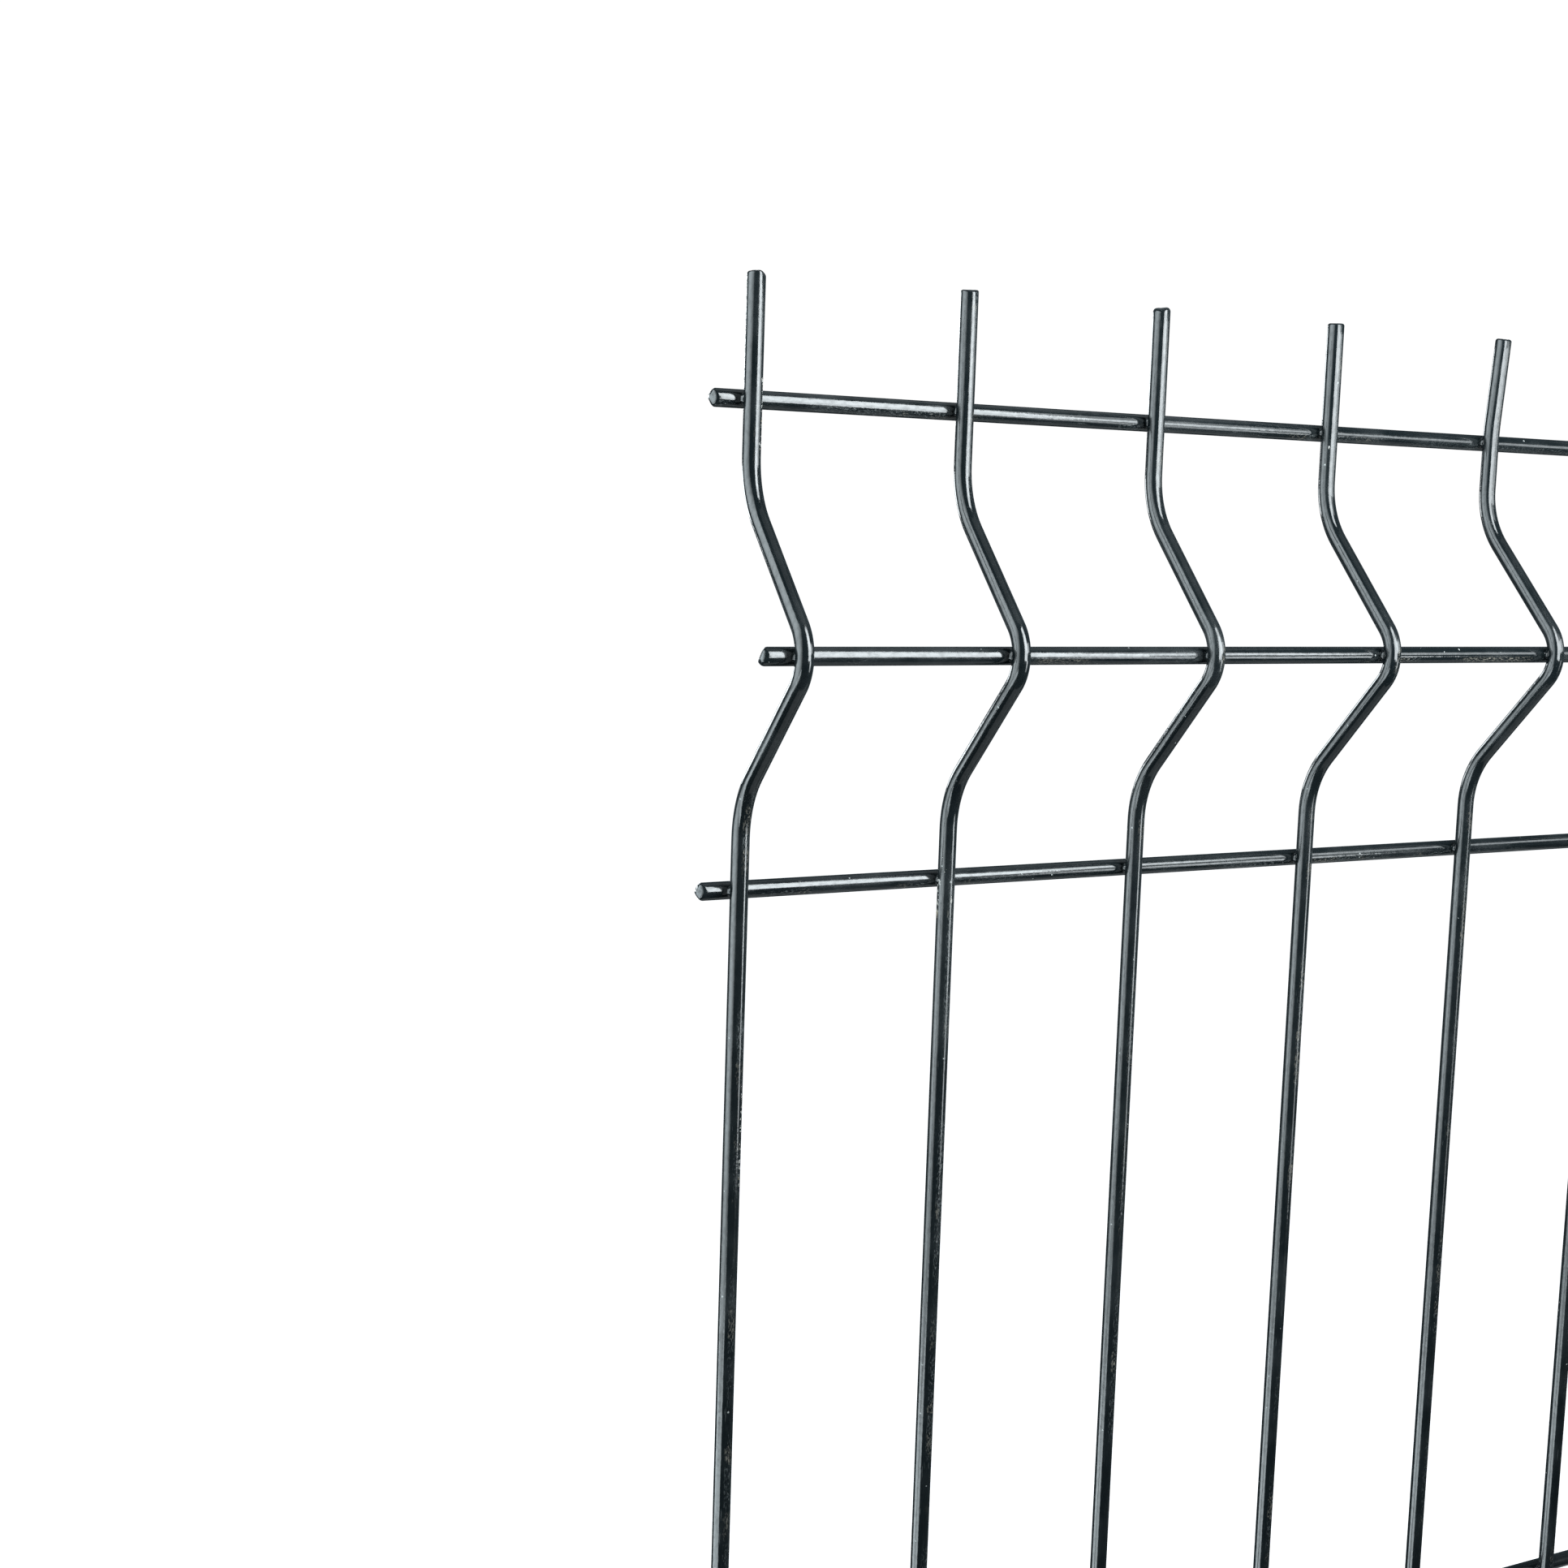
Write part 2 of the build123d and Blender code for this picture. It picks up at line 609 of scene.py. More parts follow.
@dataclass(frozen=True)
class BareMetal:
    """Dull zinc and primer, with stains and pits, where the coat has chipped off; also used for one patch of
    chips that is a painted highlight.
    """

    name: str
    pale: Colour = (0.42, 0.42, 0.40)
    stained: Colour = (0.20, 0.17, 0.12)
    stain: Grain = Grain(700.0, 2.0, 0.48, 0.66)
    roughness: float = 0.62
    pit_waves: float = 4000.0
    pit_depth: float = 0.03 * MM

    def make(self) -> bpy.types.Material:
        """Builds the material.

        Returns:
            The finished material.
        """
        material, nodes = blank_material(self.name)
        colour = nodes.blend(nodes.grain(self.stain), self.pale, self.stained)
        shader = nodes.fed("ShaderNodeBsdfPrincipled", colour, "Base Color", Roughness=self.roughness)
        pits = nodes.bump(nodes.noise(self.pit_waves), self.pit_depth)
        nodes.link(pits, shader.inputs["Normal"])
        nodes.show(shader.outputs["BSDF"])
        return material


@dataclass
class WireBender:
    """Feeds and bends a wire in the YZ plane, as the bending line does, and notes its route.

    The heading is the wire's angle from +Z towards -Y.
    """

    position: Vector
    heading: float = 0.0
    # The longest steps in a bend and on a straight run.
    bend_step: float = math.radians(4.2)
    feed_step: float = 60 * MM
    route: list[Vector] = field(default_factory=list)

    def __post_init__(self) -> None:
        """Notes where the wire starts."""
        self.route.append(self.position.copy())

    def feed(self, length: float) -> None:
        """Feeds the wire straight on.

        Args:
            length: how far.
        """
        steps = max(1, math.ceil(length / self.feed_step))
        ahead = Vector((0, -math.sin(self.heading), math.cos(self.heading)))
        for _ in range(steps):
            self.position += ahead * (length / steps)
            self.route.append(self.position.copy())

    def bend(self, radius: float, turn: float) -> None:
        """Bends the wire round a roller.

        Args:
            radius: the bend's radius on the wire's centre line.
            turn: the angle, positive towards -Y.
        """
        steps = max(2, math.ceil(abs(turn) / self.bend_step))
        step = turn / steps
        chord = 2 * radius * math.sin(abs(step) / 2)
        for _ in range(steps):
            middle = self.heading + step / 2
            self.position += Vector((0, -math.sin(middle), math.cos(middle))) * chord
            self.heading += step
            self.route.append(self.position.copy())


@dataclass(frozen=True)
class Facet:
    """One plane of a cut end."""

    # How far it leans back from square, and which way.
    lean: float
    toward: Vector
    # Where it crosses the cut's highest point, from the wire's axis.
    through: Vector = field(default_factory=Vector)

    def height(self, aside: Vector) -> float:
        """How high the plane is over the cut's highest point, at a place off the wire's axis."""
        return -math.tan(self.lean) * (aside - self.through).dot(self.toward.normalized())


@dataclass
class Tip:
    """A cut end: facets that melt into each other, with a rounded rim of coating."""

    facets: list[Facet]
    rim: float
    # How uneven the cut is, and how far its facets melt into each other.
    roughness: float = 0.0
    softness: float = 0.10 * MM
    # Width of the larger and the smaller unevenness, and the smaller one's share of the height.
    coarse: float = 0.8 * MM
    fine: float = 0.35 * MM
    fine_share: float = 0.5
    # Rings round the rim, and from there in to the middle.
    shoulder_steps: int = 5
    face_steps: int = 6

    def height(self, aside: Vector, seat: Vector) -> float:
        """How high the cut is at a place off the wire's axis.

        Args:
            aside: the place, from the wire's axis.
            seat: where the wire ends, which decides its unevenness.

        Returns:
            The height, before the cut is levelled with the wire's reach.
        """
        lows = [math.exp(-facet.height(aside) / self.softness) for facet in self.facets]
        point = aside + seat
        uneven = noise.noise(point / self.coarse) + self.fine_share * noise.noise(point / self.fine)
        return -self.softness * math.log(sum(lows)) + self.roughness * uneven

    def rings(self, seat: Vector, spokes: list[Vector], radius: float) -> list[list[tuple[Vector, float]]]:
        """The rings of the cut, from the wire's side in to its middle.

        Args:
            seat: where the wire ends.
            spokes: directions round the wire.
            radius: the wire's own.

        Returns:
            For each ring, the places off the axis and their heights, at most 0.
        """
        rings = []
        for step in range(self.shoulder_steps):
            turn = math.pi / 2 * (1 - step / self.shoulder_steps)
            out = radius - self.rim * (1 - math.sin(turn))
            drop = self.rim * (1 - math.cos(turn))
            rings.append([(spoke * out, self.height(spoke * out, seat) - drop) for spoke in spokes])
        for step in range(self.face_steps):
            out = (radius - self.rim) * (1 - step / self.face_steps)
            rings.append([(spoke * out, self.height(spoke * out, seat)) for spoke in spokes])
        peak = max(height for ring in rings for _, height in ring)
        return [[(aside, height - peak) for aside, height in ring] for ring in rings]


@dataclass
class WireMesh:
    """A round wire swept along a route, with shaped tips."""

    name: str
    diameter: float
    route: list[Vector]
    start: Tip
    end: Tip
    sides: int = 28
    # How much of each end of the route its tip takes up, and the shortest step beside that.
    tip_room: float = 3.4 * MM
    shortest_step: float = 0.2 * MM

    def trimmed(self, route: list[Vector]) -> list[Vector]:
        """Takes a tip's room off the end of a route.

        Args:
            route: points on a centre line.

        Returns:
            The shorter route.
        """
        end = route[-1]
        kept = [point for point in route if (point - end).length > self.tip_room + self.shortest_step]
        return kept + [end + (kept[-1] - end).normalized() * self.tip_room]

    def tip_rings(self, tip: Tip, seat: Vector, out: Vector, spokes: list[Vector]) -> list[list[Vector]]:
        """The places of a tip's rings, from the wire's side in to its middle."""
        rings = tip.rings(seat, spokes, self.diameter / 2 - HAIR)
        return [[seat + aside + out * (height - HAIR) for aside, height in ring] for ring in rings]

    def rings(self) -> list[list[Vector]]:
        """The rings of the whole wire, from the middle of one tip to the middle of the other.

        Returns:
            The places of each ring.
        """
        radius = self.diameter / 2 - HAIR
        first_way = (self.route[0] - self.route[1]).normalized()
        last_way = (self.route[-1] - self.route[-2]).normalized()
        route = self.trimmed(self.trimmed(self.route[::-1])[::-1])
        count = len(route)
        tangents = [(route[min(i + 1, count - 1)] - route[max(i - 1, 0)]).normalized() for i in range(count)]
        tangents[0], tangents[-1] = -first_way, last_way
        runs_along = abs(tangents[0].x) > abs(tangents[0].z)
        across = Vector((0, 1, 0)) if runs_along else Vector((1, 0, 0))
        turns = [2 * math.pi * side / self.sides for side in range(self.sides)]
        spokes = []
        for tangent in tangents:
            across = (across - tangent * across.dot(tangent)).normalized()
            other = tangent.cross(across)
            spokes.append([across * math.cos(turn) + other * math.sin(turn) for turn in turns])
        body = [[point + spoke * radius for spoke in ring] for point, ring in zip(route, spokes)]
        first = self.tip_rings(self.start, self.route[0], first_way, spokes[0])
        last = self.tip_rings(self.end, self.route[-1], last_way, spokes[-1])
        return first[::-1] + body + last

    def build(self, finish: bpy.types.Material) -> bpy.types.Object:
        """Makes the wire's object.

        Args:
            finish: its coat.

        Returns:
            The new object, in the scene.
        """
        bm = bmesh.new()
        rings = [[bm.verts.new(place) for place in ring] for ring in self.rings()]
        join_rows(bm, rings, closed=True)
        for ring in (rings[0], rings[-1]):
            close_ring(bm, ring, bm.verts.new(sum((vert.co for vert in ring), Vector()) / self.sides))
        return add_piece(self.name, bm, finish)


@dataclass
class Uprights:
    """The upright wires, each folded twice, with a free spike above the top line wire."""

    coat: bpy.types.Material
    crest_radius: float = 9 * MM
    edge_radius: float = 20 * MM
    # From a crest up to where the leg would meet the plain run.
    fold_half_height: float = 31 * MM
    spike_step: float = 2 * MM
    # The number of the wire whose spike was knocked aside, and its bend.
    bent_spike: int = 5
    bent_spike_lean: float = math.radians(5.0)
    bent_spike_radius: float = 60 * MM
    foot_rim: float = 0.3 * MM
    # The cut of a spike: its leans in degrees, where its chipped side starts, as a share of the
    # diameter, and the rim's radius and the unevenness in millimetres.
    aslant_leans: Range = (1, 7)
    chipped_leans: Range = (14, 30)
    chipped_places: Range = (0.1, 0.3)
    rims: Range = (0.35, 0.75)
    unevenness: Range = (0.02, 0.10)
    seed: int = 11

    def __post_init__(self) -> None:
        """Reads from the frame where the wires and the folds are."""
        self.names = sorted(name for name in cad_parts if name.startswith(UPRIGHT_NODES))
        low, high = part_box(self.names[0])
        self.diameter = high.x - low.x
        self.foot, self.head = low.z, high.z
        self.top_line = LineWires.axis("top_edge_wire").z
        self.crests = [LineWires.axis(name) for name in ("bottom_crest_wire", "top_crest_wire")]
        self.random = random.Random(self.seed)

    def axis_x(self, name: str) -> float:
        """Where an upright stands along the fence."""
        low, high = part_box(name)
        return (low.x + high.x) / 2

    @property
    def fold_depth(self) -> float:
        """How far a crest stands out from the plain runs, on the centre line."""
        return self.diameter - self.crests[0].y

    @property
    def leg_lean(self) -> float:
        """The angle of a fold's legs from upright.

        Returns:
            The angle, in radians.
        """
        centre = self.fold_depth - self.crest_radius
        reach = math.hypot(centre, self.fold_half_height)
        return math.atan2(centre, self.fold_half_height) + math.asin(self.crest_radius / reach)

    def route(self, x: float) -> list[Vector]:
        """The centre line of one upright, from its foot to the top of its spike.

        Args:
            x: where it stands along the fence.

        Returns:
            Points on the centre line.
        """
        lean = self.leg_lean
        edge_tangent = self.edge_radius * math.tan(lean / 2)
        leg = self.fold_half_height / math.cos(lean) - edge_tangent - self.crest_radius * math.tan(lean)
        bender = WireBender(Vector((x, 0, self.foot)))
        for crest in self.crests:
            start = crest.z - self.fold_half_height - edge_tangent
            bender.feed(start - bender.position.z)
            bender.bend(self.edge_radius, lean)
            bender.feed(leg)
            bender.bend(self.crest_radius, -2 * lean)
            bender.feed(leg)
            bender.bend(self.edge_radius, lean)
        bender.feed(self.top_line - bender.position.z)
        bender.feed_step = self.spike_step
        bender.feed(self.head - bender.position.z)
        return bender.route

    def knocked_aside(self, route: list[Vector]) -> list[Vector]:
        """Leans the spike of a route along the fence, in a short bend that starts at the weld.

        Args:
            route: the centre line of an upright.

        Returns:
            The route with its spike leaning.
        """
        bent = []
        for point in route:
            rise = point.z - self.top_line
            if rise > 0:
                turn = min(self.bent_spike_lean, rise / self.bent_spike_radius)
                beyond = rise - turn * self.bent_spike_radius
                aside = self.bent_spike_radius * (1 - math.cos(turn)) + beyond * math.sin(turn)
                up = self.bent_spike_radius * math.sin(turn) + beyond * math.cos(turn)
                point = Vector((point.x + aside, point.y, self.top_line + up))
            bent.append(point)
        return bent

    def spike_tip(self) -> Tip:
        """Draws the cut top of one spike: nearly square, with one uneven side chipped off.

        Returns:
            The tip.
        """
        draw = self.random
        turn = draw.uniform(0, 2 * math.pi)
        way = Vector((math.cos(turn), math.sin(turn), 0))
        aslant = Facet(math.radians(draw.uniform(*self.aslant_leans)), way)
        lean = math.radians(draw.uniform(*self.chipped_leans))
        chipped = Facet(lean, -way, way * -draw.uniform(*self.chipped_places) * self.diameter)
        return Tip([aslant, chipped], draw.uniform(*self.rims) * MM, draw.uniform(*self.unevenness) * MM)

    def build(self) -> list[bpy.types.Object]:
        """Makes every upright.

        Returns:
            The pieces, in order along the fence.
        """
        pieces = []
        square = Facet(0.0, Vector((1, 0, 0)))
        for number, node in enumerate(self.names, start=1):
            route = self.route(self.axis_x(node))
            if number == self.bent_spike:
                route = self.knocked_aside(route)
            foot = Tip([square], self.foot_rim)
            wire = WireMesh(f"coated_upright_{number:02d}", self.diameter, route, foot, self.spike_tip())
            piece = wire.build(self.coat)
            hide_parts(node)
            pieces.append(piece)
        return pieces


@dataclass
class LineWires:
    """The straight line wires behind the uprights, with cropped ends that stand past them."""

    coat: bpy.types.Material
    sides: int = 40
    steps: int = 40
    # A cropped end: how the wire is rolled in the croppers, in degrees, where the cut's point is,
    # as shares of the diameter, and how its faces lean, in degrees, and turn to the back.
    rolls: Range = (-22, 18)
    ridge_back: Range = (-0.16, 0.02)
    ridge_up: Range = (-0.22, 0.08)
    front_leans: Range = (24, 32)
    upper_leans: Range = (22, 36)
    upper_back: float = 0.55
    lower_leans: Range = (20, 32)
    lower_back: float = 0.65
    # The rim's radius and the unevenness, in millimetres.
    rims: Range = (0.45, 0.75)
    unevenness: Range = (0.03, 0.08)
    seed: int = 5

    @staticmethod
    def axis(node: str) -> Vector:
        """The middle of a line wire."""
        low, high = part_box(node)
        return (low + high) / 2

    def __post_init__(self) -> None:
        """Reads from the frame which line wires there are, from the top down."""
        names = [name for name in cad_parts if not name.startswith(UPRIGHT_NODES)]
        self.names = sorted(names, key=lambda name: -self.axis(name).z)
        low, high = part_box(self.names[0])
        self.diameter = high.z - low.z
        self.half_length = (high.x - low.x) / 2
        self.random = random.Random(self.seed)

    def cropped_tip(self) -> Tip:
        """Draws one cropped end: three faces that meet in a blunt point, as bolt croppers leave them.

        Returns:
            The tip.
        """
        draw = self.random
        roll = math.radians(draw.uniform(*self.rolls))
        back = Vector((0, math.cos(roll), math.sin(roll)))
        up = Vector((0, -math.sin(roll), math.cos(roll)))
        ridge = (back * draw.uniform(*self.ridge_back) + up * draw.uniform(*self.ridge_up)) * self.diameter
        cuts = (
            (self.front_leans, -back),
            (self.upper_leans, back * self.upper_back + up),
            (self.lower_leans, back * self.lower_back - up),
        )
        facets = [Facet(math.radians(draw.uniform(*leans)), toward, ridge) for leans, toward in cuts]
        return Tip(facets, draw.uniform(*self.rims) * MM, draw.uniform(*self.unevenness) * MM)

    def build(self) -> list[bpy.types.Object]:
        """Makes every line wire.

        Returns:
            The pieces, from the top down.
        """
        pieces = []
        shares = [2 * step / self.steps - 1 for step in range(self.steps + 1)]
        for node in self.names:
            centre = self.axis(node)
            route = [centre + Vector((self.half_length * share, 0, 0)) for share in shares]
            tips = (self.cropped_tip(), self.cropped_tip())
            wire = WireMesh(f"coated_{node}", self.diameter, route, *tips, sides=self.sides)
            piece = wire.build(self.coat)
            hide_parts(node)
            pieces.append(piece)
        return pieces


@dataclass
class Welds:
    """The small fillets of metal and coating where an upright is welded to a line wire."""

    coat: bpy.types.Material
    uprights: Uprights
    lines: LineWires
    # The gap that a fillet fills, on average, and how much narrower it is at the waist.
    throat: float = 1.25 * MM
    neck_share: float = 0.42
    waist_power: float = 0.8
    # How a fillet's size varies, and the waves round it, with their height as a share of the throat.
    sizes: Range = (0.8, 1.25)
    waves: int = 3
    wave_most: float = 0.09
    wave_counts: tuple[int, int] = (2, 5)
    wave_starts: float = 6.3
    steps_round: int = 28
    steps_across: int = 5
    # How far it is sunk into each wire, how wide it may be, as a share of the line wire's radius,
    # and how often the search for its edge is halved.
    sunk: float = 0.06 * MM
    widest: float = 0.98
    halvings: int = 24
    seed: int = 23

    def upright_back(self, x: float, z: float, bend: float | None) -> float:
        """How far the back of an upright lies behind its own axis, near a crossing.

        Args:
            x: offset along the fence.
            z: offset up the wire.
            bend: radius of the bend that the crossing is in, if it is in one.

        Returns:
            The distance.
        """
        radius = self.uprights.diameter / 2
        back = math.sqrt(max(0.0, radius**2 - x**2))
        if bend is None:
            return back
        return bend - math.sqrt(max(0.0, (bend - back) ** 2 - z**2))

    def line_front(self, z: float) -> float:
        """How far the front of a line wire lies behind the upright's axis, near a crossing."""
        radius = self.lines.diameter / 2
        return self.uprights.diameter / 2 + radius - math.sqrt(max(0.0, radius**2 - z**2))

    def reach(self, turn: float, throat: float, bend: float | None) -> float:
        """How far from the contact a fillet reaches, one way round.

        Args:
            turn: the way, as an angle from +X towards +Z.
            throat: the gap that it fills.
            bend: radius of the bend that the crossing is in, if it is in one.

        Returns:
            The distance.
        """
        low, high = 0.0, self.widest * self.lines.diameter / 2
        for _ in range(self.halvings):
            middle = (low + high) / 2
            x, z = middle * math.cos(turn), middle * math.sin(turn)
            if self.line_front(z) - self.upright_back(x, z, bend) < throat:
                low = middle
            else:
                high = middle
        return low

    def section(self, turn: float, throat: float, bend: float | None) -> list[Vector]:
        """The fillet's section one way round, from the upright to the line wire.

        Args:
            turn: the way, as an angle from +X towards +Z.
            throat: the gap that it fills.
            bend: radius of the bend that the crossing is in, if it is in one.

        Returns:
            Its points, from the crossing.
        """
        edge = self.reach(turn, throat, bend)
        neck = self.reach(turn, throat * self.neck_share, bend)
        x, z = edge * math.cos(turn), edge * math.sin(turn)
        back = self.upright_back(x, z, bend) - self.sunk
        front = self.line_front(z) + self.sunk
        points = []
        for step in range(self.steps_across + 1):
            share = step / self.steps_across
            out = edge - (edge - neck) * math.sin(math.pi * share) ** self.waist_power
            points.append(Vector((out * math.cos(turn), back + (front - back) * share, out * math.sin(turn))))
        return points

    def add_fillet(
        self, bm: bmesh.types.BMesh, crossing: Vector, bend: float | None, draw: random.Random
    ) -> None:
        """Adds the fillet of one crossing.

        Args:
            bm: the mesh that it goes into.
            crossing: the point on the upright's axis in front of the line wire.
            bend: radius of the bend that the crossing is in, if it is in one.
            draw: where its unevenness comes from.
        """
        size = draw.uniform(*self.sizes)
        waves = []
        for _ in range(self.waves):
            high, count = draw.uniform(0, self.wave_most), draw.randint(*self.wave_counts)
            waves.append((high, count, draw.uniform(0, self.wave_starts)))
        rings = []
        for step in range(self.steps_round):
            turn = 2 * math.pi * step / self.steps_round
            swell = 1 + sum(high * math.sin(count * turn + start) for high, count, start in waves)
            section = self.section(turn, self.throat * size * swell, bend)
            rings.append([bm.verts.new(crossing + point) for point in section])
        join_rows(bm, rings + rings[:1], closed=False)

    def build(self) -> list[bpy.types.Object]:
        """Makes one row of fillets for each line wire.

        Returns:
            The pieces, from the top down.
        """
        pieces = []
        draw = random.Random(self.seed)
        for node in self.lines.names:
            centre = self.lines.axis(node)
            bend = self.uprights.crest_radius if "crest" in node else None
            bm = bmesh.new()
            for upright in self.uprights.names:
                x = self.uprights.axis_x(upright)
                crossing = Vector((x, centre.y - self.uprights.diameter, centre.z))
                self.add_fillet(bm, crossing, bend, draw)
            piece = add_piece(f"weld_row_{node.removesuffix('_wire')}", bm, self.coat)
            pieces.append(piece)
        return pieces


@dataclass(frozen=True)
class ChipPatch:
    """A patch of chips on one upright, between two heights over its crossing with a line wire.

    Its turn, from the front towards +X, and its spread round the wire are in degrees. Its size is
    half the length of the largest chip.
    """

    upright: int
    line: str
    low: float
    high: float
    turn: float
    spread: float
    count: int
    size: float


@dataclass(frozen=True)
class Chip:
    """One chip in the coat of an upright, with its turn from the front towards +X in radians.

    Its size is half the length of the largest chip of its patch.
    """

    x: float
    height: float
    turn: float
    size: float


@dataclass
class Chips:
    """Chips in the coat of the uprights, where other panels and tools have knocked them; one patch of pale
    chips below a crossing is a painted highlight.
    """

    finish: bpy.types.Material
    uprights: Uprights
    # The patches that are seen best.
    patches: tuple[ChipPatch, ...] = (
        ChipPatch(1, "top_edge_wire", 1.5 * MM, 24 * MM, -111, 7, 34, 0.55 * MM),
        ChipPatch(1, "top_edge_wire", -10 * MM, 4 * MM, 44, 14, 34, 0.55 * MM),
        ChipPatch(1, "top_edge_wire", -4 * MM, 0, 5, 16, 5, 0.30 * MM),
        ChipPatch(1, "top_fold_foot_wire", -62 * MM, -40 * MM, 38, 10, 34, 0.50 * MM),
        ChipPatch(2, "top_fold_foot_wire", -8 * MM, 0.5 * MM, -98, 14, 22, 0.95 * MM),
        # painted highlight: these three pale chips just below the crossing stand for a glint on a drip of
        # coat
        ChipPatch(2, "top_fold_foot_wire", -4.5 * MM, -2.5 * MM, 10, 5, 3, 0.90 * MM),
        ChipPatch(2, "top_fold_foot_wire", 2 * MM, 9 * MM, -35, 40, 5, 0.42 * MM),
        ChipPatch(3, "top_fold_foot_wire", -60 * MM, -40 * MM, 22, 12, 9, 0.34 * MM),
        ChipPatch(4, "top_edge_wire", -4 * MM, -2.5 * MM, -40, 3, 2, 0.50 * MM),
    )
    # How many of the other crossings have a patch, and what it is like, in millimetres and degrees.
    share: float = 0.22
    other_lines: tuple[str, ...] = (
        "top_edge_wire",
        "top_fold_foot_wire",
        "bottom_fold_head_wire",
        "field_wire_2",
    )
    other_lows: Range = (-9, 1)
    other_reach: float = 6 * MM
    other_turns: tuple[float, ...] = (-105, -40, 30, 75, 150)
    other_spread: float = 14
    other_counts: tuple[int, int] = (2, 9)
    other_sizes: Range = (0.18, 0.42)
    # How far chips stray from a patch's middle, as a share of its spread.
    scatter: float = 0.5
    # A chip: the smallest as a share of the largest, how rare large ones are, its width as a share
    # of its length, how far it lies askew, in radians, and how far its corners stray from an oval.
    smallest: float = 0.22
    rarity: float = 2.5
    slimness: Range = (0.25, 0.7)
    skews: Range = (-0.5, 0.5)
    corners: int = 9
    raggedness: Range = (0.65, 1.15)
    # For each ring of a chip, its share of the outline and how far it stands proud.
    levels: tuple[Range, ...] = ((1.0, -0.02 * MM), (0.6, 0.035 * MM))
    middle_level: float = 0.02 * MM
    seed: int = 41

    def others(self, draw: random.Random) -> list[ChipPatch]:
        """Draws patches at some of the other crossings.

        Args:
            draw: where the choice comes from.

        Returns:
            The patches.
        """
        patches = []
        for number in range(1, len(self.uprights.names) + 1):
            for line in self.other_lines:
                if draw.random() < self.share:
                    low = draw.uniform(*self.other_lows) * MM
                    turn = draw.choice(self.other_turns)
                    size = draw.uniform(*self.other_sizes) * MM
                    count = draw.randint(*self.other_counts)
                    high = low + self.other_reach
                    patches.append(ChipPatch(number, line, low, high, turn, self.other_spread, count, size))
        return patches

    def on_wire(self, chip: Chip, along: float, aside: float, proud: float) -> Vector:
        """A point on the wire's skin, or a little over it.

        Args:
            chip: the chip that it belongs to.
            along: how far up the wire it is from the chip's middle.
            aside: how far round the wire it is from the chip's middle.
            proud: how far it is over the skin.

        Returns:
            The point.
        """
        radius = self.uprights.diameter / 2
        turn = chip.turn + aside / radius
        out = radius + proud
        return Vector((chip.x + out * math.sin(turn), -out * math.cos(turn), chip.height + along))

    def outline(self, size: float, draw: random.Random) -> list[tuple[float, float]]:
        """Draws the ragged outline of one chip, laid flat.

        Args:
            size: half the length of the largest chip of its patch.
            draw: where its shape comes from.

        Returns:
            Its corners, as how far they are along the wire and round it.
        """
        long = size * (self.smallest + (1 - self.smallest) * draw.random() ** self.rarity)
        wide = long * draw.uniform(*self.slimness)
        skew = draw.uniform(*self.skews)
        rim = []
        for corner in range(self.corners):
            turn = 2 * math.pi * corner / self.corners
            out = draw.uniform(*self.raggedness)
            along, aside = long * out * math.cos(turn), wide * out * math.sin(turn)
            skewed_along = along * math.cos(skew) - aside * math.sin(skew)
            skewed_aside = aside * math.cos(skew) + along * math.sin(skew)
            rim.append((skewed_along, skewed_aside))
        return rim

    def add_chip(self, bm: bmesh.types.BMesh, chip: Chip, draw: random.Random) -> None:
        """Adds one chip, as a thin ragged disc that lies round the wire.

        Args:
            bm: the mesh that it goes into.
            chip: the chip.
            draw: where its shape comes from.
        """
        rim = self.outline(chip.size, draw)
        rings = [
            [bm.verts.new(self.on_wire(chip, along * share, aside * share, proud)) for along, aside in rim]
            for share, proud in self.levels
        ]
        join_rows(bm, rings, closed=True)
        close_ring(bm, rings[-1], bm.verts.new(self.on_wire(chip, 0, 0, self.middle_level)))

    def build(self) -> bpy.types.Object:
        """Makes all the chips as one piece.

        Returns:
            The piece.
        """
        draw = random.Random(self.seed)
        bm = bmesh.new()
        for patch in (*self.patches, *self.others(draw)):
            x = self.uprights.axis_x(self.uprights.names[patch.upright - 1])
            crossing = LineWires.axis(patch.line).z
            for _ in range(patch.count):
                height = crossing + draw.uniform(patch.low, patch.high)
                turn = math.radians(patch.turn + draw.gauss(0, self.scatter) * patch.spread)
                self.add_chip(bm, Chip(x, height, turn, patch.size), draw)
        piece = add_piece("coat_chips_and_painted_glint", bm, self.finish)
        return piece


@dataclass(frozen=True)
class SoftBox:
    """One soft studio light, placed and aimed from the lit corner.

    Its radiance is how bright its face is, where white paper in the picture is 1. Its spread is
    the angle of its beam in degrees, which a grid on its face narrows.
    """

    name: str
    centre: Place
    aim: Place
    width: float
    height: float
    radiance: float
    spread: float = 180.0
    tint: Colour = (0.90, 0.97, 1.0)

    def place(self, corner: Vector) -> bpy.types.Object:
        """Puts the light in the scene.

        Args:
            corner: the lit corner of the panel.

        Returns:
            The light.
        """
        half_spread = math.radians(self.spread) / 2
        beam = 1 - half_spread / math.tan(half_spread)
        data = bpy.data.lights.new(self.name, "AREA")
        data.shape = "RECTANGLE"
        data.size, data.size_y = self.width, self.height
        data.energy = self.radiance * math.pi * self.width * self.height * beam
        data.spread = 2 * half_spread
        data.color = self.tint
        light = bpy.data.objects.new(self.name, data)
        light.location = corner + Vector(self.centre)
        way = Vector(self.centre) - Vector(self.aim)
        light.rotation_euler = way.to_track_quat("Z", "Y").to_euler()
        light.visible_camera = False
        bpy.context.scene.collection.objects.link(light)
        return light


